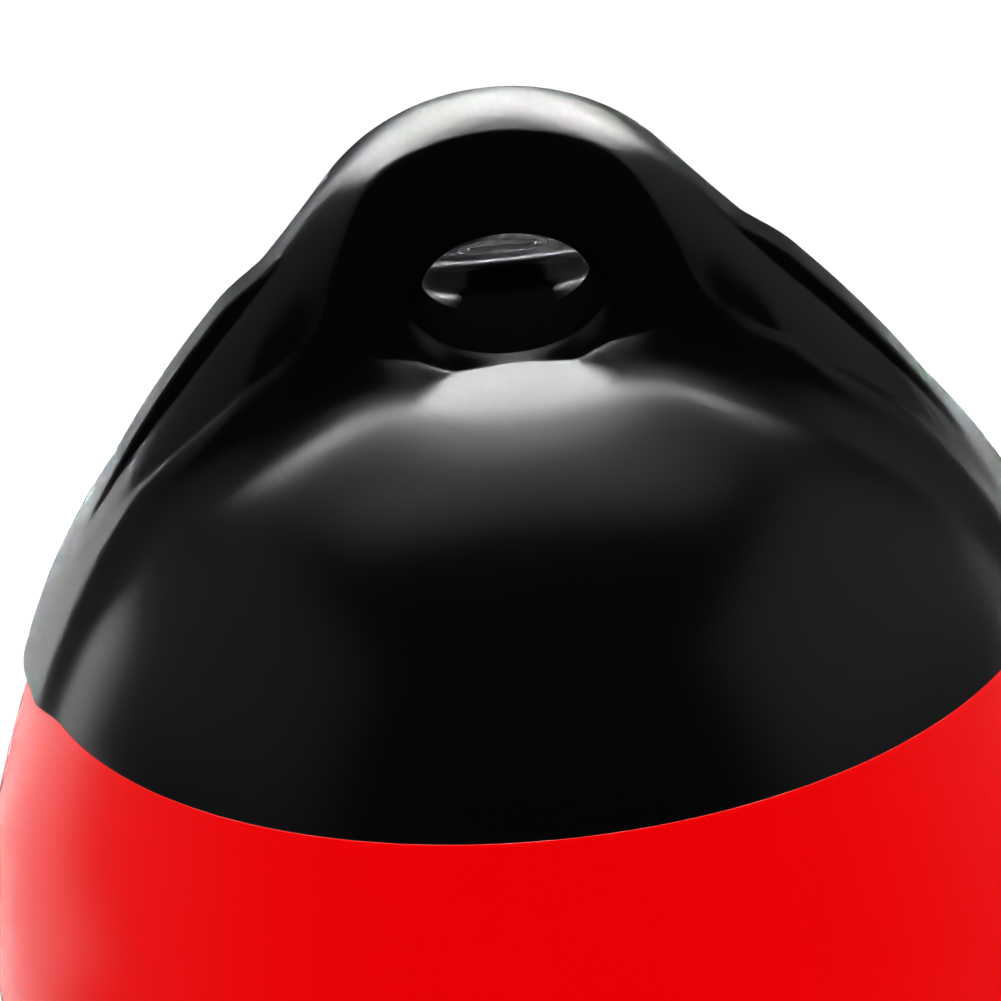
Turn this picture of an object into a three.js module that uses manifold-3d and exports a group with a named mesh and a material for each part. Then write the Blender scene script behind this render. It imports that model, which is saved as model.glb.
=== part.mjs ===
// Inflatable ball fender with a moulded rope-eye end.
// Millimetres, +Z up. The rope runs through the eye along Y, the legs and wings spread along X,
// and the origin is the centre of the eye, where the fender hangs.
import * as THREE from 'three';
import { mergeVertices } from 'three/addons/utils/BufferGeometryUtils.js';
import Module from 'manifold-3d';

const wasm = await Module();
wasm.setup();

// Ball
const ballRadius = 116.5;         // at the widest level
const widestBelowSeam = 65;       // from the black and red seam down to the widest level
const bottomBelowWidest = 115;    // from the widest level down to the pole
const shoulderLean = 20;          // degrees that the ball leans in at the seam
const shoulderFullness = 27;      // reach of the shoulder curve's two handles
const hiddenCrownHeight = 24;     // how far the ball rises inside the black end

// Black end: dome
const seamRadius = 101;           // outer radius of the skirt at the seam
const seamStep = 0.8;             // the ball stands this far proud of the skirt
const skirtWall = 5;
const domeAboveSeam = 61;
const domeCentreBelowSeam = 35;   // level of the dome's own equator
const domeFullness = 2.4;         // exponent of its outline: 2 is an ellipse, more is squarer

// Black end: rope eye and legs
const eyeAboveSeam = 74.1;
const eyeHalfWidth = 17;
const eyeHalfHeight = 11.7;
const eyeFlare = 8;               // radius of the rounded mouth of the eye
const crownAboveEye = 37.9;
const crownRadius = 45.4;         // of the arch over the eye, seen from the front
const crownHalfThickness = 10.4;
const bandCrowning = 40;          // radius of the outer band across its thickness
const edgeRounding = 1.5;
const legSlope = 49;              // degrees below level
const facePullAngle = 1.7;        // degrees of draft on the front and back faces

// Black end: wings and ribs
const wingHalfThickness = 15;
const legLength = 38.4;           // straight part of the outline, before the wing's long arc
const wingRadius = 220;           // of that arc, seen from the front
const thickenFrom = 20;           // the legs widen from the crown's thickness to the wing's
const thickenTo = 58;
const ribHeight = 2.5;
const ribHalfWidth = 4.4;
const ribStart = 50;              // distance of the rib's upper end from the axis
const ribRounding = 0.9;
const ribRoot = 7;                // how deep the rib's bar is sunk in the wing

// Fillets between the dome and what stands on it
const filletAtEye = 1.5;
const filletAtLegs = 24;
const filletFrom = 14;
const filletTo = 34;

// Valve, in a raised boss on the far side of the dome
const valveFromAxis = 42;         // where the boss's middle stands on the dome
const bossRadius = 18;
const bossHeight = 6;
const bossRounding = 2;
const bossRoot = 8;               // how deep the boss's solid is sunk in the dome
const seatRadius = 9;
const seatDepth = 10;
const seatBore = 3.5;
const headRecess = 6.9;
const headRecessDepth = 3.6;
const headThickness = 2;
const headChamfer = 0.5;
const slotWidth = 1.6;
const slotDepth = 1.1;
const sealThickness = 1;
const clearance = 0.3;            // between pieces that touch

// Fineness of the faceted surfaces
const sectionsPerSide = 28;
const pointsPerFlank = 24;
const raysPerFlank = 360;
const ballSegments = 64;
const domeSegments = 96;
const smallSegments = 40;
const bendLength = 9;             // a radian of bend draws as many section points as 9 mm of run
const loftBelowSeam = 4;          // the loft's flat base, cut away later by the ball's room

const radians = THREE.MathUtils.degToRad;
const seamZ = -eyeAboveSeam;
const crownTop = eyeAboveSeam + crownAboveEye;    // heights in the field are above the seam
const crownCentre = crownTop - crownRadius;
const legLean = radians(legSlope);
const domeRise = domeAboveSeam + domeCentreBelowSeam;
const domeWidthAt = (z) => (1 - ((z + domeCentreBelowSeam) / domeRise) ** 2) ** (1 / domeFullness);
const domeHalfWidth = seamRadius / domeWidthAt(0);

// Smooth joins of two signed distances, rounded over the width r.
function smoothMin(a, b, r) {
  const overlap = Math.max(r - Math.abs(a - b), 0) / r;
  return Math.min(a, b) - overlap * overlap * r / 4;
}
const smoothMax = (a, b, r) => -smoothMin(-a, -b, r);

// Body of revolution under the eye: signed distance, nearly true near its surface.
function dome(x, y, z) {
  const r = Math.max(Math.hypot(x, y), 1e-6);
  const up = z + domeCentreBelowSeam;
  const across = (r / domeHalfWidth) ** domeFullness;
  const excess = across + (up / domeRise) ** 2 - 1;
  return excess / Math.hypot(domeFullness * across / r, 2 * up / domeRise ** 2);
}

// Front outline: a round crown, two straight legs, then the long arcs of the wings.
function frontOutline(x, z) {
  const up = z - crownCentre;
  const along = x * Math.cos(legLean) - up * Math.sin(legLean);
  const outward = x * Math.sin(legLean) + up * Math.cos(legLean);
  if (along < 0) return Math.hypot(x, up) - crownRadius;
  if (along < legLength) return outward - crownRadius;
  return Math.hypot(along - legLength, outward - crownRadius + wingRadius) - wingRadius;
}

// The outer band is slightly round across its thickness, and flat beyond it.
const crownedDrop = (y) => Math.min(Math.abs(y), wingHalfThickness) ** 2 / (2 * bandCrowning);

// An outline with a thickness, its outer band crowned and its two edges rounded.
function thickened(outline, y, halfThickness) {
  const band = outline + crownedDrop(y) + edgeRounding;
  const face = Math.abs(y) - halfThickness + edgeRounding;
  const corner = Math.hypot(Math.max(band, 0), Math.max(face, 0));
  return corner + Math.min(Math.max(band, face), 0) - edgeRounding;
}

// Arch, legs and wings as one upright web, before the eye is cut.
function web(x, y, z) {
  const widen = THREE.MathUtils.smoothstep(Math.abs(x), thickenFrom, thickenTo);
  const draft = (crownTop - z) * Math.tan(radians(facePullAngle));
  const halfThickness = THREE.MathUtils.lerp(crownHalfThickness, wingHalfThickness, widen) + draft;
  return thickened(frontOutline(Math.abs(x), z), y, halfThickness);
}

// Place of the valve: its axis stands square to the dome.
const valveLevel = (valveFromAxis / domeHalfWidth) ** domeFullness;
const valveUp = domeRise * Math.sqrt(1 - valveLevel);
const valveTilt = Math.atan2(domeFullness * valveLevel / valveFromAxis, 2 * valveUp / domeRise ** 2);

// The outer form of the black end, with the eye still filled and without the ribs.
// The fillet between dome and web never swells past the front outline.
function blackForm(x, y, z) {
  const away = THREE.MathUtils.smoothstep(Math.abs(x), filletFrom, filletTo);
  const fillet = THREE.MathUtils.lerp(filletAtEye, filletAtLegs, away);
  const round = dome(x, y, z);
  const joined = smoothMin(round, web(x, y, z), fillet);
  const held = smoothMax(joined, frontOutline(Math.abs(x), z) + crownedDrop(y), edgeRounding);
  return smoothMin(round, held, edgeRounding);
}

// Outermost point of the form on a ray in the section plane at x, searched inward in short steps.
function surfacePoint(x, lowZ, angle) {
  const at = (t) => [t * Math.sin(angle), lowZ + t * Math.cos(angle)];
  const value = (t) => blackForm(x, ...at(t));
  const step = edgeRounding;
  let outer = seamRadius + crownTop;
  while (outer > step && value(outer - step) > 0) outer -= step;
  let low = outer - step;
  let high = outer;
  for (let i = 0; i < 30; i += 1) {
    const middle = (low + high) / 2;
    if (value(middle) > 0) high = middle;
    else low = middle;
  }
  return at(Math.max(low, 0));
}

// One flank of a section, from its ridge down to the base, with points crowded where it bends.
function flank(x, lowZ) {
  const fine = [];
  for (let i = 0; i <= raysPerFlank; i += 1) {
    fine.push(surfacePoint(x, lowZ, Math.PI / 2 * (i / raysPerFlank) ** 1.5));
  }
  const travel = [0];
  let heading = null;
  for (let i = 1; i < fine.length; i += 1) {
    const dy = fine[i][0] - fine[i - 1][0];
    const dz = fine[i][1] - fine[i - 1][1];
    const next = Math.atan2(dz, dy);
    const bend = heading === null ? 0 : Math.min(Math.abs(next - heading), 0.5);
    heading = next;
    travel.push(travel[i - 1] + Math.hypot(dy, dz) + bend * bendLength);
  }
  const points = [];
  let k = 1;
  for (let i = 0; i <= pointsPerFlank; i += 1) {
    const wanted = travel[travel.length - 1] * i / pointsPerFlank;
    while (k < travel.length - 1 && travel[k] < wanted) k += 1;
    const share = (wanted - travel[k - 1]) / Math.max(travel[k] - travel[k - 1], 1e-9);
    points.push([0, 1].map((c) => fine[k - 1][c] + (fine[k][c] - fine[k - 1][c]) * share));
  }
  return points;
}

// Loft through sections square to X, closed by a flat base below the seam.
function blackLoft() {
  const lowZ = -loftBelowSeam;
  const fineStep = 0.05;
  let reach = domeHalfWidth * domeWidthAt(lowZ);
  while (blackForm(reach, 0, lowZ) < 0) reach += fineStep;
  const rings = [];
  for (let i = -sectionsPerSide + 1; i < sectionsPerSide; i += 1) {
    const x = reach * Math.sin(Math.PI / 2 * i / sectionsPerSide);
    const half = flank(x, lowZ);
    const far = half.slice(1).reverse().map(([y, z]) => [x, y, z]);
    const near = half.map(([y, z]) => [x, -y, z]);
    rings.push([...far, ...near]);
  }
  const count = rings[0].length;
  const positions = rings.flat(2);
  const index = [];
  for (let r = 0; r < rings.length - 1; r += 1) {
    for (let c = 0; c < count; c += 1) {
      const next = (c + 1) % count;
      const a = r * count + c;
      const b = r * count + next;
      index.push(a, b, a + count, b, b + count, a + count);
    }
  }
  const tips = rings.length * count;
  positions.push(-reach, 0, lowZ, reach, 0, lowZ);
  for (let c = 0; c < count; c += 1) {
    const next = (c + 1) % count;
    const last = (rings.length - 1) * count;
    index.push(tips, next, c, tips + 1, last + c, last + next);
  }
  const geometry = new THREE.BufferGeometry();
  geometry.setAttribute('position', new THREE.Float32BufferAttribute(positions, 3));
  geometry.setIndex(index);
  return geometry;
}

// Turned solid about Z from a profile of [radius, height] pairs.
function turned(profile, segments) {
  const points = profile.map(([r, z]) => new THREE.Vector2(r, z));
  return new THREE.LatheGeometry(points, segments).rotateX(Math.PI / 2);
}

// Closed solid from a geometry, its shared corners merged and its faces turned out.
function toSolid(geometry) {
  const bare = geometry.clone();
  bare.deleteAttribute('normal');
  bare.deleteAttribute('uv');
  const merged = mergeVertices(bare, 1e-4);
  const corners = merged.index.array;
  const place = merged.attributes.position.array;
  const kept = [];
  for (let i = 0; i < corners.length; i += 3) {
    const [a, b, c] = [corners[i], corners[i + 1], corners[i + 2]];
    if (a !== b && b !== c && c !== a) kept.push(a, b, c);
  }
  const mesh = new wasm.Mesh({ numProp: 3, vertProperties: place, triVerts: new Uint32Array(kept) });
  const solid = new wasm.Manifold(mesh);
  return solid.volume() < 0 ? new wasm.Manifold(new wasm.Mesh({
    numProp: 3, vertProperties: place, triVerts: new Uint32Array(kept.reverse()),
  })) : solid;
}

function toGeometry(solid) {
  const mesh = solid.getMesh();
  const geometry = new THREE.BufferGeometry();
  geometry.setAttribute('position', new THREE.BufferAttribute(mesh.vertProperties, 3));
  geometry.setIndex(new THREE.BufferAttribute(mesh.triVerts, 1));
  geometry.computeVertexNormals();
  return geometry;
}

// Spool that cuts the eye: narrowest at the middle of the arch, flared to both faces.
function eyeSpool() {
  const face = crownHalfThickness + crownAboveEye * Math.tan(radians(facePullAngle));
  const mouth = Math.min(eyeFlare, face);
  const halfLength = face + mouth / 2;
  const profile = [[0, -halfLength]];
  const steps = 12;
  for (let i = -steps; i <= steps; i += 1) {
    const y = face * Math.sin(Math.PI / 2 * i / steps);
    const past = Math.max(Math.abs(y) - (face - mouth), 0);
    const growth = mouth - Math.sqrt(Math.max(mouth ** 2 - past ** 2, 0));
    if (i === -steps) profile.push([eyeHalfWidth + growth, -halfLength]);
    profile.push([eyeHalfWidth + growth, y]);
    if (i === steps) profile.push([eyeHalfWidth + growth, halfLength]);
  }
  profile.push([0, halfLength]);
  const points = profile.map(([r, y]) => new THREE.Vector2(r, y));
  const spool = new THREE.LatheGeometry(points, smallSegments);
  spool.scale(1, 1, eyeHalfHeight / eyeHalfWidth);
  return spool.translate(0, 0, eyeAboveSeam);
}

// The dome alone and a little proud: the eye's cutter stops on it.
function domeSolid() {
  const proud = clearance;
  const profile = [];
  const steps = 28;
  for (let i = 0; i < steps; i += 1) {
    const z = (domeRise + proud) * Math.sin(Math.PI / 2 * i / steps) - domeCentreBelowSeam;
    profile.push([(domeHalfWidth + proud) * domeWidthAt(z * domeRise / (domeRise + proud)), z]);
  }
  profile.push([0, domeAboveSeam + proud]);
  profile.unshift([0, -domeCentreBelowSeam]);
  return turned(profile, domeSegments);
}

// Raised rib along the middle of a wing: an arc bar that starts square and runs to the seam.
function rib(side) {
  const inward = crownRadius - wingRadius;
  const centreX = legLength * Math.cos(legLean) + inward * Math.sin(legLean);
  const centreZ = crownCentre - legLength * Math.sin(legLean) + inward * Math.cos(legLean);
  const outer = wingRadius + ribHeight - ribRounding;
  const start = Math.acos((ribStart - centreX) / outer);
  const end = Math.asin((-seamStep - centreZ) / outer);
  const shape = new THREE.Shape();
  shape.absarc(centreX, centreZ, outer, start, end, true);
  shape.absarc(centreX, centreZ, wingRadius - ribRoot, end, start, false);
  const bar = new THREE.ExtrudeGeometry(shape, {
    depth: 2 * (ribHalfWidth - ribRounding), curveSegments: 24,
    bevelThickness: ribRounding, bevelSize: ribRounding, bevelSegments: 2,
  });
  bar.translate(0, 0, ribRounding - ribHalfWidth).rotateX(Math.PI / 2);
  return side > 0 ? bar : bar.rotateZ(Math.PI);
}

// Half outline of the ball's hidden crown, or of the room for it where the gap is added.
function hiddenCrown(gap) {
  const radius = seamRadius - skirtWall - clearance + gap;
  const profile = [];
  const steps = 9;
  for (let i = 0; i <= steps; i += 1) {
    const angle = Math.PI / 2 * i / steps;
    profile.push([radius * Math.sin(angle), (hiddenCrownHeight + gap) * Math.cos(angle)]);
  }
  profile[0][0] = 0;
  profile[steps][1] = gap;
  return profile;
}

// Room for the ball's crown, and everything below the skirt's edge.
function ballRoom() {
  const wide = domeHalfWidth * 2;
  const profile = hiddenCrown(clearance);
  profile.push([wide, clearance], [wide, -domeRise], [0, -domeRise]);
  return turned(profile.reverse(), ballSegments);
}

// Sets an object made about Z on the valve's axis, its zero level on the boss's flat top.
function onValveAxis(object) {
  object.rotation.x = -valveTilt;
  object.position.set(
    0,
    valveFromAxis + bossHeight * Math.sin(valveTilt),
    valveUp - domeCentreBelowSeam + bossHeight * Math.cos(valveTilt),
  );
  return object;
}

// The same place, written into a geometry.
function atValve(geometry) {
  const holder = onValveAxis(new THREE.Object3D());
  holder.updateMatrix();
  return geometry.applyMatrix4(holder.matrix);
}

// Raised round boss with a flat top and a rounded edge, rooted in the dome.
function valveBoss() {
  const low = -bossHeight - bossRoot;
  const profile = [[0, low], [bossRadius, low]];
  const steps = 4;
  for (let i = 0; i <= steps; i += 1) {
    const angle = Math.PI / 2 * i / steps;
    const inset = bossRounding * (1 - Math.cos(angle));
    profile.push([bossRadius - inset, bossRounding * (Math.sin(angle) - 1)]);
  }
  profile.push([0, 0]);
  return atValve(turned(profile, smallSegments));
}

// Pocket for the valve's seat, open above the boss.
function valvePocket() {
  const radius = seatRadius + clearance;
  const above = seatRadius * 2;
  const profile = [[0, -seatDepth - clearance], [radius, -seatDepth - clearance], [radius, above], [0, above]];
  return atValve(turned(profile, smallSegments));
}

// Black end: loft and ribs less the eye, then the boss, less the ball's room and the valve's pocket.
function ropeEyeEnd() {
  const cutter = toSolid(eyeSpool()).subtract(toSolid(domeSolid()));
  const body = toSolid(blackLoft())
    .add(toSolid(rib(1)))
    .add(toSolid(rib(-1)))
    .subtract(cutter)
    .add(toSolid(valveBoss()))
    .subtract(toSolid(ballRoom()))
    .subtract(toSolid(valvePocket()));
  return toGeometry(body);
}

// Ball: hidden crown, flat shoulder under the skirt, full cheeks and a round bottom.
function inflatedBall() {
  const profile = hiddenCrown(0);
  const lean = radians(shoulderLean);
  const shoulder = seamRadius + seamStep;
  const cheek = new THREE.CubicBezierCurve(
    new THREE.Vector2(shoulder, 0),
    new THREE.Vector2(shoulder + shoulderFullness * Math.sin(lean), -shoulderFullness * Math.cos(lean)),
    new THREE.Vector2(ballRadius, shoulderFullness - widestBelowSeam),
    new THREE.Vector2(ballRadius, -widestBelowSeam),
  );
  for (const point of cheek.getPoints(8)) profile.push([point.x, point.y]);
  const steps = 16;
  for (let i = 1; i <= steps; i += 1) {
    const angle = Math.PI / 2 * i / steps;
    const z = -widestBelowSeam - bottomBelowWidest * Math.sin(angle);
    profile.push([i === steps ? 0 : ballRadius * Math.cos(angle), z]);
  }
  return toGeometry(toSolid(turned(profile.reverse(), ballSegments)));
}

// Bush with a recess for the screw's head and a bore for its shank.
function valveSeat() {
  const profile = [
    [seatBore, -seatDepth], [seatRadius, -seatDepth], [seatRadius, 0], [headRecess, 0],
    [headRecess, -headRecessDepth], [seatBore, -headRecessDepth], [seatBore, -seatDepth],
  ];
  return turned(profile, smallSegments);
}

// Flat ring that the screw's head squeezes on the floor of the recess.
function valveSeal() {
  const low = clearance - headRecessDepth;
  const inner = seatBore + clearance;
  const outer = headRecess - clearance * 3;
  const profile = [
    [inner, low], [outer, low], [outer, low + sealThickness], [inner, low + sealThickness], [inner, low],
  ];
  return turned(profile, smallSegments);
}

// Slotted screw: round head in the recess, plain shank in the bore.
function valveScrew() {
  const under = clearance * 2 + sealThickness - headRecessDepth;
  const shank = seatBore - clearance;
  const head = headRecess - clearance;
  const profile = [
    [0, clearance - seatDepth], [shank, clearance - seatDepth], [shank, under], [head, under],
    [head, under + headThickness - headChamfer], [head - headChamfer, under + headThickness],
    [0, under + headThickness],
  ];
  const slot = new THREE.BoxGeometry(head * 3, slotWidth, slotDepth * 2);
  slot.translate(0, 0, under + headThickness);
  return toGeometry(toSolid(turned(profile, smallSegments)).subtract(toSolid(slot)));
}

const blackPvc = { color: 0x0b0b0c, roughness: 0.28, metalness: 0 };
const redPvc = { color: 0xe00206, roughness: 0.3, metalness: 0 };
const valveNylon = { color: 0x1a1a1c, roughness: 0.5, metalness: 0 };
const sealRubber = { color: 0x101010, roughness: 0.8, metalness: 0 };

const fender = new THREE.Group();
fender.name = 'ball_fender';

function add(name, geometry, finish) {
  const mesh = new THREE.Mesh(geometry, new THREE.MeshStandardMaterial(finish));
  mesh.name = name;
  body.add(mesh);
  return mesh;
}

// Everything is built with its heights above the seam, then hung from the centre of the eye.
const body = new THREE.Group();
body.position.z = seamZ;
fender.add(body);
add('rope_eye_end', ropeEyeEnd(), blackPvc);
add('inflated_ball', inflatedBall(), redPvc);
onValveAxis(add('valve_seat', valveSeat(), valveNylon));
onValveAxis(add('valve_seal', valveSeal(), sealRubber));
onValveAxis(add('valve_screw', valveScrew(), valveNylon));

export default fender;
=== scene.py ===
from math import atan2, cos, pi, radians, sin, sqrt, tan

import bmesh
import bpy
import numpy as np
from mathutils import Matrix, Vector


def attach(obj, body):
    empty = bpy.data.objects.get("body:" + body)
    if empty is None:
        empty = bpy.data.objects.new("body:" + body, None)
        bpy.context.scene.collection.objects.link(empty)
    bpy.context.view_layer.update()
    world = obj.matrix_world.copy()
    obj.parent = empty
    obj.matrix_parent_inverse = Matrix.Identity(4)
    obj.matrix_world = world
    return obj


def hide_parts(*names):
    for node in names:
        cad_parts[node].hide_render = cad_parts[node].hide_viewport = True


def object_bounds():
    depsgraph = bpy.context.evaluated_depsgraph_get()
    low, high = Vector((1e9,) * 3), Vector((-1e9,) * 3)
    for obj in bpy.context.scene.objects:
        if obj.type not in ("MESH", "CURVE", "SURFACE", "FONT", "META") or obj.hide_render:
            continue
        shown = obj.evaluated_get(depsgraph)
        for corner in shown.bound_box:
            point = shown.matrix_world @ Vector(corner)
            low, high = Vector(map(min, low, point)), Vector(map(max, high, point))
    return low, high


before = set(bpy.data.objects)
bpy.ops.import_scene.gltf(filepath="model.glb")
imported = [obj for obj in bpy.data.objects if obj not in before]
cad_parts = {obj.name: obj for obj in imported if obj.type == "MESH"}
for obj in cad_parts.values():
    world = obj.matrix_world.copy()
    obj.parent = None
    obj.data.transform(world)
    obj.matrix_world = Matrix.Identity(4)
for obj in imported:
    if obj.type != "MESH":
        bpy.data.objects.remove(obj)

cad_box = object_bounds()

# The camera looks along the rope's way through the eye, from a little above.
# The fender leans about six degrees to the left in the picture, so the camera is rolled.

mm = 0.001
eye_above_seam = 74.1             # the frame's origin; the forms below count from the seam
camera_elevation = radians(25.7)
camera_roll = radians(5.88)
camera_distance = 2.8
picture_width = 0.2002            # what the picture spans at the fender's axis
aim_across, aim_up = -5.55 * mm, 22.66 * mm

sight = Vector((0, cos(camera_elevation), -sin(camera_elevation)))
level = Vector((1, 0, 0))
upward = level.cross(sight)
right = level * cos(camera_roll) - upward * sin(camera_roll)
top = level * sin(camera_roll) + upward * cos(camera_roll)
aim = level * aim_across + upward * aim_up - Vector((0, 0, eye_above_seam * mm))

camera_data = bpy.data.cameras.new("camera")
camera_data.lens = camera_data.sensor_width * camera_distance / picture_width
camera_data.clip_start, camera_data.clip_end = 0.1, 20
camera = bpy.data.objects.new("camera", camera_data)
turn = Matrix((right, top, -sight)).transposed().to_4x4()
camera.matrix_world = Matrix.Translation(aim - sight * camera_distance) @ turn
bpy.context.scene.collection.objects.link(camera)
bpy.context.scene.camera = camera

# Black end: one moulding of black flexible PVC that caps the ball. A dome carries an arch over
# the rope's eye; its legs run down into broad wings with a raised rib along each, and a round
# boss behind holds the valve. It is one solid field, so the parts flow together as in the mould.

seam_radius = 101.0
dome_above_seam = 61.0
dome_centre_below_seam = 35.0
dome_fullness = 2.4
eye_half_width = 17.0
eye_half_height = 11.7
eye_flare, front_flare = 8.0, 13.0
eye_flare_below = 0.3             # the mouth opens less towards the shelf of the dome
crown_above_eye = 37.9
crown_radius = 45.4
crown_half_thickness = 10.4
band_crowning = 40.0              # radius of the outer band across its thickness
front_bevel = 7.0                 # the legs' front edges fall away by this much more
bevel_depth = 13.0                # in full this far before the middle plane
bevel_rise, bevel_fall = (22.0, 42.0), (52.0, 84.0)
front_fullness = 1.3              # the front face stands this much further out than the back
edge_rounding = 0.9
leg_rounding = 6.0                # more than that along the legs
rounding_rise, rounding_fall = (24.0, 42.0), (46.0, 60.0)
leg_slope = radians(49)
face_draft = tan(radians(1.7))
wing_half_thickness = 12.8
leg_length = 38.4
wing_radius = 220.0
thicken_from, thicken_to = 20.0, 58.0
rib_height = 2.5
rib_half_width = 4.4
rib_rounding, rib_fillet = 1.2, 1.0
rib_from, rib_to = 44.0, 58.0     # the rib's upper end rises out of the leg over this run
fillet_at_eye, fillet_at_legs = 1.5, 13.0
fillet_from, fillet_to = 12.0, 30.0
corner_fillet, mouth_fillet = 1.0, 12.0
corner_run = (10.0, 22.0)         # the fillet grows towards the mouth's two lower corners
lip_rounding, lip_softness = 1.2, 9.0
lip_run = (12.0, 25.0)            # the mouth's lip is sharp in the middle and soft at its ends
yoke_height = 1.8                 # the shelf before the arch rises towards both legs
yoke_from_axis, yoke_spread, yoke_reach = 30.0, 13.0, 48.0
yoke_end = (-8.0, 0.0)
valve_from_axis = 42.0
boss_radius, boss_height = 20.0, 5.2
boss_rounding, boss_fillet = 2.5, 3.0
seat_radius, seat_depth = 9.0, 10.0
pocket_rounding = 0.2
ball_crown_radius, ball_crown_height = 95.7, 24.0
room_steepness = 0.7              # brings the slope of the room's field near to one
skirt_below_seam = 3.5
clearance = 0.3

crown_top = eye_above_seam + crown_above_eye
crown_centre = crown_top - crown_radius
dome_rise = dome_above_seam + dome_centre_below_seam
seam_level = dome_centre_below_seam / dome_rise
dome_half_width = seam_radius / (1 - seam_level**2) ** (1 / dome_fullness)
valve_share = (valve_from_axis / dome_half_width) ** dome_fullness
valve_up = dome_rise * sqrt(1 - valve_share)
valve_tilt = atan2(dome_fullness * valve_share / valve_from_axis, 2 * valve_up / dome_rise**2)


def smooth_min(a, b, r):
    overlap = np.maximum(r - np.abs(a - b), 0) / r
    return np.minimum(a, b) - overlap**2 * r / 4


def smooth_max(a, b, r):
    return -smooth_min(-a, -b, r)


def smooth_step(x, low, high):
    t = np.clip((x - low) / (high - low), 0, 1)
    return t * t * (3 - 2 * t)


def rounded_corner(a, b, r):
    """The solid inside both a and b, its edge rounded by r."""
    a, b = a + r, b + r
    return np.hypot(np.maximum(a, 0), np.maximum(b, 0)) + np.minimum(np.maximum(a, b), 0) - r


def dome(x, y, z):
    r = np.maximum(np.hypot(x, y), 1e-6)
    yoke = np.exp(-(((np.abs(x) - yoke_from_axis) / yoke_spread) ** 2))
    yoke = yoke * smooth_step(y, -yoke_reach, -yoke_reach / 2) * (1 - smooth_step(y, *yoke_end))
    up = z + dome_centre_below_seam - yoke_height * yoke
    across = (r / dome_half_width) ** dome_fullness
    slope = np.hypot(dome_fullness * across / r, 2 * up / dome_rise**2)
    return (across + (up / dome_rise) ** 2 - 1) / np.maximum(slope, 1e-6)


def on_valve(x, y, z):
    """Distance from the valve's axis, and height above the dome along it."""
    back, up = y - valve_from_axis, z - valve_up + dome_centre_below_seam
    height = back * sin(valve_tilt) + up * cos(valve_tilt)
    return np.hypot(x, back * cos(valve_tilt) - up * sin(valve_tilt)), height


def front_outline(x, z):
    up = z - crown_centre
    along = x * cos(leg_slope) - up * sin(leg_slope)
    outward = x * sin(leg_slope) + up * cos(leg_slope)
    crown = np.hypot(x, up) - crown_radius
    wing = np.hypot(along - leg_length, outward - crown_radius + wing_radius) - wing_radius
    leg = outward - crown_radius
    return np.where(along < 0, crown, np.where(along < leg_length, leg, wing))


def web_thickness(side, y, z):
    """From the middle plane of the arch, the legs and the wings to their face."""
    widen = smooth_step(side, thicken_from, thicken_to)
    thickness = crown_half_thickness + (wing_half_thickness - crown_half_thickness) * widen
    return thickness + (crown_top - z) * face_draft + np.where(y < 0, front_fullness, 0)


def eye_distance(x, y, z):
    """Distance to the eye's wall: an oval that is narrowest in the middle of the arch."""
    face = web_thickness(np.abs(x), y, z)
    past = np.clip(np.abs(y) - (face - eye_flare), 0, eye_flare) / eye_flare
    growth = np.where(y < 0, front_flare, eye_flare) * (1 - np.sqrt(1 - past**2))
    width = eye_half_width + growth
    height = eye_half_height + growth * np.where(z > eye_above_seam, 1, eye_flare_below)
    across, up = x / width, (z - eye_above_seam) / height
    scaled = np.hypot(across, up)
    steep = np.hypot(across / width, up / height)
    return scaled * (scaled - 1) / np.maximum(steep, 1e-6)


def black_end(x, y, z):
    side, depth = np.abs(x), np.abs(y)
    outline = front_outline(side, z)
    band = outline + np.minimum(depth, wing_half_thickness) ** 2 / (2 * band_crowning)
    bevelled = smooth_step(side, *bevel_rise) * (1 - smooth_step(side, *bevel_fall))
    band = band + front_bevel * bevelled * (np.clip(-y, 0, bevel_depth) / bevel_depth) ** 2

    thickness = web_thickness(side, y, z)
    along_leg = smooth_step(side, *rounding_rise) * (1 - smooth_step(side, *rounding_fall))
    web = rounded_corner(band, depth - thickness, edge_rounding + leg_rounding * along_leg)

    away = smooth_step(side, fillet_from, fillet_to)
    fillet = fillet_at_eye + (fillet_at_legs - fillet_at_eye) * away
    from_valve, above_dome = on_valve(x, y, z)
    boss = rounded_corner(from_valve - boss_radius, above_dome - boss_height, boss_rounding)
    low_part = smooth_min(dome(x, y, z), boss, boss_fillet)
    joined = smooth_min(low_part, web, fillet)
    held = smooth_max(joined, band, edge_rounding)
    lip = lip_rounding + lip_softness * smooth_step(side, *lip_run)
    bored = smooth_max(held, -eye_distance(x, y, z), lip)

    raised = rib_height * smooth_step(side, rib_from, rib_to)
    rib = smooth_max(depth - rib_half_width, outline - raised, rib_rounding)
    rib = np.maximum(rib, rib_from - side)
    corner = corner_fillet + mouth_fillet * smooth_step(side, *corner_run)
    mouth = smooth_min(low_part, smooth_max(web, -eye_distance(x, y, z), lip), corner)
    whole = np.minimum(smooth_min(bored, rib, rib_fillet), mouth)
    pocket = rounded_corner(
        from_valve - seat_radius - clearance,
        boss_height - seat_depth - clearance - above_dome,
        pocket_rounding,
    )
    return np.maximum(whole, -pocket)


def hollowed(x, y, z):
    """The black end with room for the ball's crown; it runs on below the seam, to be cut there."""
    r = np.hypot(x, y)
    crown = np.hypot(r / ball_crown_radius, z / ball_crown_height) - 1
    over = crown * ball_crown_height * room_steepness
    room = np.where(z > 0, over, r - ball_crown_radius) - clearance
    return np.maximum(np.maximum(black_end(x, y, z), -room), -skirt_below_seam - z)


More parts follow.
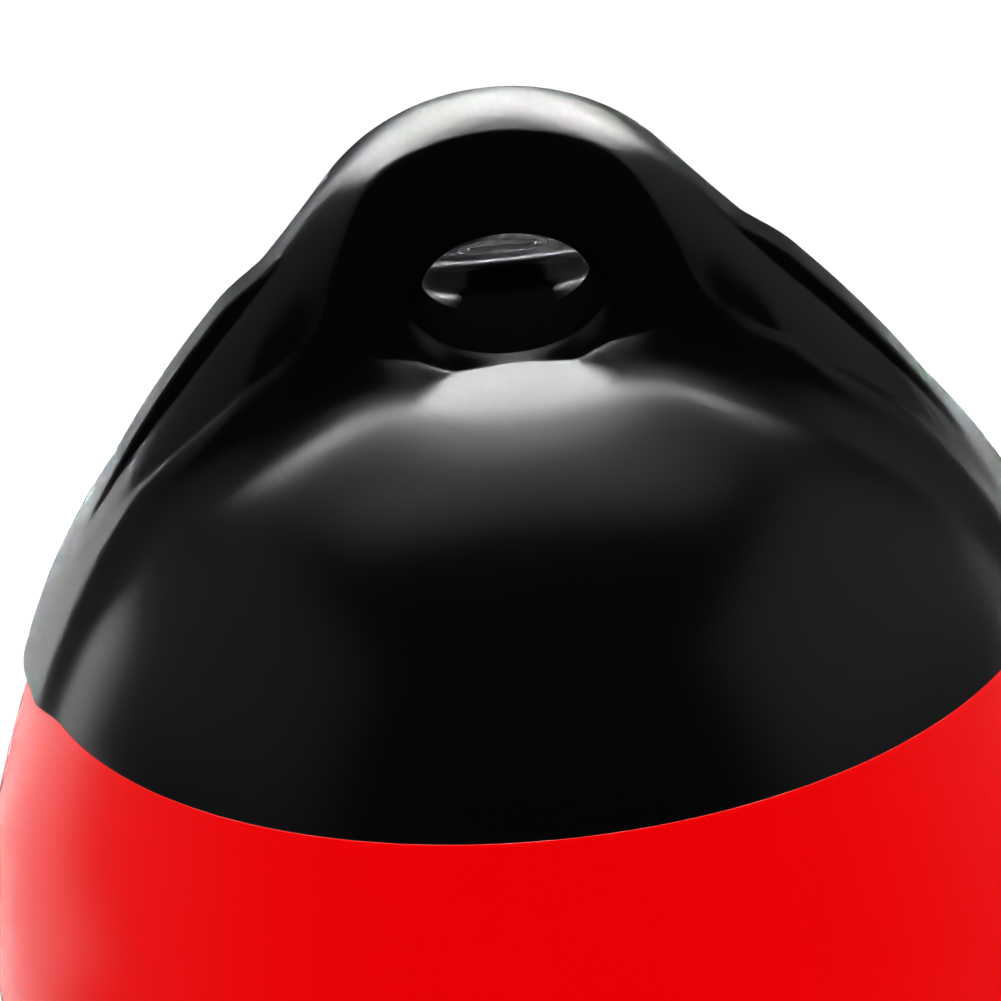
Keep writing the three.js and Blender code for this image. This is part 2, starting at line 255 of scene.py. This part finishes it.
def surface_net(field, low, high, cell):
    """Quads through the cells where the field changes sign, one corner in each such cell."""
    counts = np.ceil((high - low) / cell).astype(int) + 1
    axes = [low[i] + np.arange(counts[i]) * cell for i in range(3)]
    grids = np.meshgrid(*axes, indexing="ij")
    values = field(*grids)
    inside = values < 0
    total = np.zeros([n - 1 for n in counts] + [3])
    hits = np.zeros([n - 1 for n in counts])
    quads = []
    for axis in range(3):
        near, far = [slice(None)] * 3, [slice(None)] * 3
        near[axis], far[axis] = slice(None, -1), slice(1, None)
        near, far = tuple(near), tuple(far)
        cross = inside[near] != inside[far]
        share = np.where(cross, values[near] / np.where(cross, values[near] - values[far], 1), 0)
        point = np.stack([g[near] for g in grids], -1)
        point[..., axis] += share * cell
        sides = [i for i in range(3) if i != axis]
        for steps in ((0, 0), (0, 1), (1, 0), (1, 1)):
            source, target = [slice(None)] * 3, [slice(None)] * 3
            for i, step in zip(sides, steps):
                source[i] = slice(step, counts[i] - 1 + step)
            hit = cross[tuple(source)]
            total[tuple(target)] += np.where(hit[..., None], point[tuple(source)], 0)
            hits[tuple(target)] += hit
        where = np.argwhere(cross)
        keep = np.ones(len(where), bool)
        for i in sides:
            keep &= (where[:, i] > 0) & (where[:, i] < counts[i] - 1)
        where = where[keep]
        corners = np.stack([where] * 4, 1)
        corners[:, (0, 3), sides[0]] -= 1
        corners[:, (0, 1), sides[1]] -= 1
        leaving = inside[near][tuple(where.T)]
        flip = leaving if axis != 1 else ~leaving
        corners[~flip] = corners[~flip][:, ::-1]
        quads.append(corners)
    used = hits > 0
    number = np.full(hits.shape, -1)
    number[used] = np.arange(used.sum())
    quads = np.moveaxis(np.concatenate(quads), -1, 0)
    return total[used] / hits[used][:, None], number[tuple(quads)]


def settle(points, field, rounds=6, step=0.05, longest_move=1.5):
    """Moves points along the field's slope until they lie on its surface."""
    for _ in range(rounds):
        slope = np.stack([
            (field(*(points + offset).T) - field(*(points - offset).T)) / (2 * step)
            for offset in np.eye(3) * step
        ], 1)
        size = np.maximum((slope**2).sum(1), 0.05)
        move = np.clip(field(*points.T) / size, -longest_move, longest_move)
        points = points - slope * move[:, None]
    return points


class Wire:
    """A socket of a node tree, so that a tree's maths reads as Python."""

    def __init__(self, tree, socket=None):
        self.tree, self.socket = tree, socket

    def node(self, kind, settings=(), out=0, **inputs):
        """Adds a node; inputs are set by name, or by number as i0, i1 and so on."""
        made = self.tree.nodes.new(kind)
        for key, value in dict(settings).items():
            setattr(made, key, value)
        for key, value in inputs.items():
            socket = made.inputs[int(key[1:]) if key[1:].isdigit() else key.replace("_", " ")]
            if isinstance(value, Wire):
                self.tree.links.new(value.socket, socket)
            else:
                socket.default_value = value
        return Wire(self.tree, made.outputs[out])

    def maths(self, operation, a, b=0.0):
        return self.node("ShaderNodeMath", {"operation": operation}, i0=a, i1=b)

    def __add__(self, other):
        return self.maths("ADD", self, other)

    def __sub__(self, other):
        return self.maths("SUBTRACT", self, other)

    def __rsub__(self, other):
        return self.maths("SUBTRACT", other, self)

    def __mul__(self, other):
        return self.maths("MULTIPLY", self, other)

    def __truediv__(self, other):
        return self.maths("DIVIDE", self, other)

    def __rtruediv__(self, other):
        return self.maths("DIVIDE", other, self)

    def __pow__(self, other):
        return self.maths("POWER", self, other)

    __radd__ = __add__
    __rmul__ = __mul__

    def sin(self):
        return self.maths("SINE", self)

    def cos(self):
        return self.maths("COSINE", self)

    def within(self, low, high):
        return self.maths("MINIMUM", self.maths("MAXIMUM", self, low), high)


def moulded(name, dark, pale, gloss, rough, grain, bump):
    """A moulded plastic: two near colours in clouds, a gloss that wanders, and a fine skin."""
    material = bpy.data.materials.new(name)
    material.use_nodes = True
    shader = material.node_tree.nodes["Principled BSDF"]
    start = Wire(material.node_tree)
    place = start.node("ShaderNodeTexCoord", out=3)
    clouds = start.node("ShaderNodeTexNoise", Vector=place, Scale=38.0, Detail=3.0)
    colour = start.node(
        "ShaderNodeMix", {"data_type": "RGBA"}, out=2, i0=clouds, i6=(*dark, 1), i7=(*pale, 1)
    )
    wander = start.node("ShaderNodeTexNoise", Vector=place, Scale=21.0, Detail=4.0)
    rubbed = start.node("ShaderNodeTexNoise", Vector=place, Scale=160.0, Detail=5.0)
    roughness = gloss + (rough - gloss) * (wander * 0.7 + rubbed * 0.3)
    skin = start.node("ShaderNodeTexNoise", Vector=place, Scale=grain, Detail=2.0)
    waves = start.node("ShaderNodeTexNoise", Vector=place, Scale=grain / 14, Detail=1.0)
    bumped = start.node("ShaderNodeBump", Height=skin + waves * 3, Strength=bump, Distance=0.0002)
    links = material.node_tree.links
    links.new(colour.socket, shader.inputs["Base Color"])
    links.new(roughness.socket, shader.inputs["Roughness"])
    links.new(bumped.socket, shader.inputs["Normal"])
    return material


def finished(name, mesh, material, node):
    """Links a mesh as the piece that stands for one node of the frame."""
    mesh.polygons.foreach_set("use_smooth", [True] * len(mesh.polygons))
    mesh.set_sharp_from_angle(angle=radians(40))
    mesh.materials.clear()
    mesh.materials.append(material)
    piece = bpy.data.objects.new(name, mesh)
    bpy.context.scene.collection.objects.link(piece)
    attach(piece, "root")
    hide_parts(node)
    return piece


black_pvc = moulded(
    "black_pvc", dark=(0.0011, 0.0011, 0.0012), pale=(0.0016, 0.0015, 0.0016),
    gloss=0.17, rough=0.27, grain=700.0, bump=0.05,
)

# Painted shade: the eye's throat and mouth get a dark finish without reflections, an oval spot in
# front view. It stands in for the shade under the arch, which the lamps don't cast because only
# the floor blocks them.
shade_half_width, shade_half_height, shade_above_eye = 26.3, 18.0, 1
shade_behind, shade_before = 10.2, 26
tree = black_pvc.node_tree
glossy = tree.nodes["Principled BSDF"]
start = Wire(tree)
place = start.node("ShaderNodeTexCoord", out=3)
x, y, z = (start.node("ShaderNodeSeparateXYZ", out=i, Vector=place) * 1000 for i in range(3))
shade_edge_noise = start.node("ShaderNodeTexNoise", Vector=place, Scale=260.0, Detail=4.0)
from_middle = (x / shade_half_width) ** 2 + ((z - shade_above_eye) / shade_half_height) ** 2
inside = ((1 - (from_middle + (shade_edge_noise - 0.5) * 0.12)) * 6).within(0, 1)
behind_lip = ((y + shade_behind) * 1.5).within(0, 1)
before_boss = ((shade_before - y) * 0.5).within(0, 1)
# painted shade: a dark, unreflecting finish mixed in over the oval in place of the arch's shadow
painted_shade = start.node(
    "ShaderNodeBsdfPrincipled", Base_Color=(0.0012, 0.0012, 0.0012, 1), Roughness=0.5
)
painted_shade.socket.node.inputs["Specular IOR Level"].default_value = 0.0
mixed = start.node("ShaderNodeMixShader", i0=inside * behind_lip * before_boss, i2=painted_shade)
tree.links.new(glossy.outputs[0], mixed.socket.node.inputs[1])
tree.links.new(mixed.socket, tree.nodes["Material Output"].inputs["Surface"])

cell = 1.4
sharp_bend = radians(16)
net_low, net_high = np.array([-107.0, -107.0, -5.0]), np.array([107.0, 107.0, 115.0])
net_points, net_quads = surface_net(hollowed, net_low, net_high, cell)
net_points = settle(net_points, hollowed)
black_mesh = bpy.data.meshes.new("rope_eye_moulding")
placed = (net_points - (0, 0, eye_above_seam)) * mm
black_mesh.from_pydata(placed.tolist(), [], net_quads.tolist())

trim = bmesh.new()                # the net is doubled where it bends sharply, and settled again
trim.from_mesh(black_mesh)
trim.normal_update()
sharp = [edge for edge in trim.edges if edge.calc_face_angle(0) > sharp_bend]
around = {edge for bend in sharp for spot in bend.verts for edge in spot.link_edges}
bmesh.ops.subdivide_edges(trim, edges=list(around), cuts=1, use_grid_fill=True)
spots = np.array([spot.co for spot in trim.verts]) / mm + (0, 0, eye_above_seam)
spots = (settle(spots, hollowed) - (0, 0, eye_above_seam)) * mm
for spot, place in zip(trim.verts, spots):
    spot.co = place

# The lower edge is trimmed level, a hair above the seam.
trim_above_seam = 0.05
everything = trim.verts[:] + trim.edges[:] + trim.faces[:]
seam = (0, 0, (trim_above_seam - eye_above_seam) * mm)
bmesh.ops.bisect_plane(trim, geom=everything, plane_co=seam, plane_no=(0, 0, 1), clear_inner=True)
bmesh.ops.bridge_loops(trim, edges=[edge for edge in trim.edges if edge.is_boundary])
bmesh.ops.recalc_face_normals(trim, faces=trim.faces[:])
trim.to_mesh(black_mesh)
trim.free()
finished("rope_eye_moulding", black_mesh, black_pvc, "rope_eye_end")

# Ball: a blown skin of glossy red PVC, air-filled, welded to the black end at the seam.
# Its shoulder stands a little proud of the black skirt, then swells to full cheeks.
# The tree below turns its outline about the axis from named sizes, in metres.

ball_sizes = {
    "Ball Radius": 116.5, "Widest Below Seam": 65.0, "Bottom Below Widest": 115.0,
    "Shoulder Radius": 101.1, "Shoulder Fullness": 27.0,
    "Crown Radius": 95.7, "Crown Height": 24.0, "Seam Level": -eye_above_seam,
}
shoulder_lean = radians(20)
turns, parts, rows_per_part = 256, 4, 32
weld_distance = 2e-6

ball_tree = bpy.data.node_groups.new("turned_ball", "GeometryNodeTree")
face = ball_tree.interface
face.new_socket("Geometry", in_out="OUTPUT", socket_type="NodeSocketGeometry")
sockets = {}
for name, value in ball_sizes.items():
    sockets[name] = face.new_socket(name, in_out="INPUT", socket_type="NodeSocketFloat")
    sockets[name].default_value = value * mm
skin_socket = face.new_socket("Skin", in_out="INPUT", socket_type="NodeSocketMaterial")

given = ball_tree.nodes.new("NodeGroupInput")
size = {name: Wire(ball_tree, given.outputs[name]) for name in ball_sizes}
start = Wire(ball_tree)
grid = start.node(
    "GeometryNodeMeshGrid", Size_X=1.0, Size_Y=1.0, Vertices_X=turns + 1,
    Vertices_Y=parts * rows_per_part + 1,
)
spot = start.node("GeometryNodeInputPosition")
turned = start.node("ShaderNodeSeparateXYZ", out=0, Vector=spot) * (2 * pi)
down = (0.5 - start.node("ShaderNodeSeparateXYZ", out=1, Vector=spot)) * parts
on_crown, on_ledge, on_cheek, on_bottom = (down.within(i, i + 1) - i for i in range(parts))

radius = size["Crown Radius"] * (on_crown * (pi / 2)).sin()
height = size["Crown Height"] * (on_crown * (pi / 2)).cos()
radius = radius + (size["Shoulder Radius"] - size["Crown Radius"]) * on_ledge

left = 1 - on_cheek               # the cheek is a cubic curve with two equal handles
reach = size["Shoulder Fullness"]
near, late, end = left * left * on_cheek * 3, left * on_cheek * on_cheek * 3, on_cheek**3
out = size["Ball Radius"] - size["Shoulder Radius"]
radius = radius + near * reach * sin(shoulder_lean) + (late + end) * out
height = height - near * reach * cos(shoulder_lean)
height = height - late * (size["Widest Below Seam"] - reach) - end * size["Widest Below Seam"]
radius = radius - size["Ball Radius"] * (1 - (on_bottom * (pi / 2)).cos())
height = height - size["Bottom Below Widest"] * (on_bottom * (pi / 2)).sin()

point = start.node(
    "ShaderNodeCombineXYZ", X=radius * turned.cos(), Y=radius * turned.sin(),
    Z=height + size["Seam Level"],
)
shaped = start.node("GeometryNodeSetPosition", Geometry=grid, Position=point)
closed = start.node("GeometryNodeMergeByDistance", Geometry=shaped, Distance=weld_distance)
whole = start.node("GeometryNodeRealizeInstances", Geometry=closed)
skin = Wire(ball_tree, given.outputs["Skin"])
skinned = start.node("GeometryNodeSetMaterial", Geometry=whole, Material=skin)
ball_tree.links.new(skinned.socket, ball_tree.nodes.new("NodeGroupOutput").inputs[0])

red_pvc = moulded(
    "red_pvc", dark=(0.70, 0.0, 0.0005), pale=(0.74, 0.0, 0.001),
    gloss=0.2, rough=0.3, grain=420.0, bump=0.03,
)
shader = red_pvc.node_tree.nodes["Principled BSDF"]
shader.inputs["Specular Tint"].default_value = (1, 0.02, 0.03, 1)

former = bpy.data.objects.new("ball_former", bpy.data.meshes.new("ball_former"))
bpy.context.scene.collection.objects.link(former)
turner = former.modifiers.new("turned_ball", "NODES")
turner.node_group = ball_tree
for name, value in ball_sizes.items():
    turner[sockets[name].identifier] = value * mm
turner[skin_socket.identifier] = red_pvc
evaluated = former.evaluated_get(bpy.context.evaluated_depsgraph_get())
ball_mesh = bpy.data.meshes.new_from_object(evaluated)
former.modifiers.remove(turner)
bpy.data.objects.remove(former)
finished("ball_skin", ball_mesh, red_pvc, "inflated_ball")

# Valve seat: a turned bush of black nylon, pressed into the boss behind the arch.
# Its recess takes the screw's head and its bore takes the shank.

head_recess, head_recess_depth, seat_bore = 6.9, 3.6, 3.5
axis_turn = Matrix.Rotation(-valve_tilt, 4, "X")
boss_top = Vector((0, valve_from_axis, valve_up - dome_centre_below_seam - eye_above_seam))
boss_top = boss_top + Vector((0, sin(valve_tilt), cos(valve_tilt))) * boss_height
on_boss = Matrix.Translation(boss_top * mm) @ axis_turn


def turned_mesh(name, profile, turns=96, edge=0.35):
    """A closed ring of [radius, height] corners turned about the valve's axis, edges rounded."""
    rounded = []
    count = len(profile)
    for i, corner in enumerate(profile):
        here = Vector(corner)
        before, after = Vector(profile[i - 1]) - here, Vector(profile[(i + 1) % count]) - here
        if here.x == 0:
            rounded.append(here)
            continue
        a = here + before.normalized() * min(edge, before.length / 3)
        b = here + after.normalized() * min(edge, after.length / 3)
        rounded += [a, (a + b + here * 2) / 4, b]
    made = bmesh.new()
    rings = []
    for spot in rounded:
        if spot.x == 0:
            rings.append([made.verts.new((0, 0, spot.y * mm))] * turns)
            continue
        angles = [2 * pi * k / turns for k in range(turns)]
        ring = [(spot.x * mm * cos(a), spot.x * mm * sin(a), spot.y * mm) for a in angles]
        rings.append([made.verts.new(corner) for corner in ring])
    for ring, following in zip(rings, rings[1:] + rings[:1]):
        for k in range(turns):
            n = (k + 1) % turns
            corners = dict.fromkeys((ring[k], ring[n], following[n], following[k]))
            if len(corners) > 2:
                made.faces.new(corners)
    bmesh.ops.recalc_face_normals(made, faces=made.faces[:])
    mesh = bpy.data.meshes.new(name)
    made.to_mesh(mesh)
    made.free()
    return mesh


valve_nylon = moulded(
    "valve_nylon", dark=(0.002, 0.002, 0.002), pale=(0.004, 0.004, 0.004),
    gloss=0.24, rough=0.36, grain=1500.0, bump=0.08,
)
seat_mesh = turned_mesh("valve_bush", [
    (seat_bore, -seat_depth), (seat_radius, -seat_depth), (seat_radius, 0), (head_recess, 0),
    (head_recess, -head_recess_depth), (seat_bore, -head_recess_depth),
])
seat_mesh.transform(on_boss)
finished("valve_bush", seat_mesh, valve_nylon, "valve_seat")

# Valve seal: a flat ring of soft black rubber on the floor of the seat's recess.
# The screw's head squeezes it to keep the air in.

seal_rubber = moulded(
    "seal_rubber", dark=(0.006, 0.006, 0.006), pale=(0.010, 0.010, 0.010),
    gloss=0.7, rough=0.9, grain=2600.0, bump=0.25,
)
seal_low, seal_thickness = clearance - head_recess_depth, 1.0
seal_inner, seal_outer = seat_bore + clearance, head_recess - clearance * 3
seal_mesh = turned_mesh("seal_ring", [
    (seal_inner, seal_low), (seal_outer, seal_low), (seal_outer, seal_low + seal_thickness),
    (seal_inner, seal_low + seal_thickness),
])
seal_mesh.transform(on_boss)
finished("seal_ring", seal_mesh, seal_rubber, "valve_seal")

# Valve screw: a slotted plug of black nylon, turned down on the seal by hand or with a coin.
# Its head lies in the recess, a little under the rim, and its shank runs down the bore.

head_thickness, slot_width, slot_depth = 2.0, 1.6, 1.1
head_low = clearance * 2 + seal_thickness - head_recess_depth
shank, head = seat_bore - clearance, head_recess - clearance
screw_mesh = turned_mesh("screw_plug", [
    (0, clearance - seat_depth), (shank, clearance - seat_depth), (shank, head_low),
    (head, head_low), (head, head_low + head_thickness), (0, head_low + head_thickness),
])
plug = bpy.data.objects.new("plug_blank", screw_mesh)
saw_mesh = bpy.data.meshes.new("slot_saw")
saw = bpy.data.objects.new("slot_saw", saw_mesh)
cut = bmesh.new()
bmesh.ops.create_cube(cut, size=mm)
bmesh.ops.scale(cut, vec=(head * 3, slot_width, slot_depth * 2), verts=cut.verts)
bmesh.ops.translate(cut, vec=(0, 0, (head_low + head_thickness) * mm), verts=cut.verts)
cut.to_mesh(saw_mesh)
cut.free()
for blank in (plug, saw):
    bpy.context.scene.collection.objects.link(blank)
slot = plug.modifiers.new("slot", "BOOLEAN")
slot.operation, slot.object, slot.solver = "DIFFERENCE", saw, "EXACT"
slotted = plug.evaluated_get(bpy.context.evaluated_depsgraph_get())
screw_mesh = bpy.data.meshes.new_from_object(slotted)
plug.modifiers.remove(slot)
for blank in (plug, saw):
    bpy.data.objects.remove(blank)
screw_mesh.transform(on_boss)
finished("screw_plug", screw_mesh, valve_nylon, "valve_screw")

# Studio: a plain pale floor and a white surround, with soft light panels around the fender.
# The panels behind draw the highlights on the crown and the shelf; those at the sides lift
# the flanks and the cheeks.

floor_level = cad_box[0].z
half_floor = 6.0
floor_mesh = bpy.data.meshes.new("floor")
square = ((-1, -1), (1, -1), (1, 1), (-1, 1))
corners = [(half_floor * a, half_floor * b, floor_level) for a, b in square]
floor_mesh.from_pydata(corners, [], [(0, 1, 2, 3)])
floor_white = moulded(
    "floor_white", dark=(0.91, 0.91, 0.91), pale=(0.93, 0.93, 0.93),
    gloss=0.8, rough=0.95, grain=300.0, bump=0.02,
)
floor_mesh.materials.append(floor_white)
floor = bpy.data.objects.new("floor", floor_mesh)
bpy.context.scene.collection.objects.link(floor)
floor.visible_glossy = False

world = bpy.data.worlds.new("studio")
world.use_nodes = True
world.node_tree.nodes["Background"].inputs["Color"].default_value = (1, 1, 1, 1)
world.node_tree.nodes["Background"].inputs["Strength"].default_value = 1.15
world.cycles_visibility.glossy = False
world.cycles.sampling_method = "NONE"
bpy.context.scene.world = world

blockers = bpy.data.collections.new("blockers")
blockers.objects.link(floor)


def panel(name, middle, facing, width, height, radiance, edge=0.25):
    """A soft rectangle of light, dimming towards its borders, that the camera does not see."""
    light = bpy.data.lights.new(name, "AREA")
    light.shape = "RECTANGLE"
    light.size, light.size_y = width, height
    light.energy = radiance * pi * width * height
    light.cycles.use_multiple_importance_sampling = False
    light.use_nodes = True
    start = Wire(light.node_tree)
    spread = start.node("ShaderNodeNewGeometry", out=5)
    strength = 1.0
    for i in (0, 1):
        share = start.node("ShaderNodeSeparateXYZ", out=i, Vector=spread)
        inner = (share * (1 - share) / (edge * (1 - edge))).within(0, 1)
        strength = inner * inner * (3 - 2 * inner) * strength
    glow = light.node_tree.nodes["Emission"]
    light.node_tree.links.new(strength.socket, glow.inputs["Strength"])
    lamp = bpy.data.objects.new(name, light)
    lamp.location = middle
    lamp.rotation_mode = "QUATERNION"
    lamp.rotation_quaternion = Vector(facing).to_track_quat("-Z", "Y")
    lamp.visible_camera = False
    lamp.light_linking.blocker_collection = blockers
    bpy.context.scene.collection.objects.link(lamp)


panel("low_strip", (-0.01, 0.13, 0.108), (0, -1, 0), 0.38, 0.13, 8.6, 0.25)
panel("high_strip", (-0.04, 0.13, 0.21), (0, -1, 0), 0.32, 0.2, 1.6, 0.3)
panel("high_haze", (0, 0.35, 0.7), (0, -0.45, -0.9), 1.2, 0.8, 0.6, 0.45)
panel("left_wall", (-1.3, 0.1, 0.8), (1, 0.1, 0), 2.8, 2.2, 0.17, 0.45)
panel("right_wall", (1.3, 0.0, 0.75), (-1, 0.1, 0), 2.8, 2.2, 0.27, 0.45)
panel("back_left", (-0.9, 0.9, -0.02), (1, -1, 0), 1.0, 0.5, 1.6, 0.3)
panel("back_right", (0.9, 0.9, -0.06), (-1, -1, 0), 1.0, 0.4, 0.35, 0.3)
panel("floor_glow", (0, 0.7, floor_level + 0.002), (0, 0, 1), 2.8, 1.3, 1.15, 0.12)

bpy.context.scene.view_settings.view_transform = "Standard"
